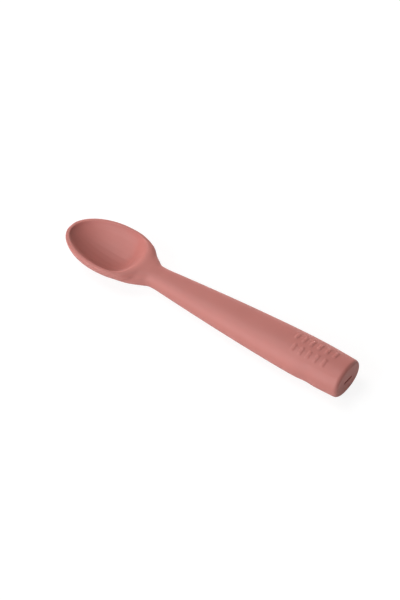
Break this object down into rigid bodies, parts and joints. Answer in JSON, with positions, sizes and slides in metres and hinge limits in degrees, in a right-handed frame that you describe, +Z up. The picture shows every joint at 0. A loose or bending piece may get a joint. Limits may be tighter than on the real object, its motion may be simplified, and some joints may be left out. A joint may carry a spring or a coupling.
{
  "type": "baby spoon",
  "caption": "Silicone baby spoon with a small deep bowl, a slim neck and a thick grip, moulded over a stiff plastic core.",
  "frame": {"origin": "on the table under the spoon, halfway along it and on its middle plane", "axes": "+X along the spoon towards the butt of the handle, +Y across it, +Z up out of the hollow of the bowl"},
  "size_m": [0.13, 0.0256, 0.0128],
  "materials": {
    "silicone": "matte dusty rose silicone with a fine moulded grain",
    "core_plastic": "natural moulded plastic, seen only at the bottom of the slot"
  },
  "bodies": {
    "root": {"silicone_overmould": "silicone", "core_insert": "core_plastic"}
  },
  "joints": []
}
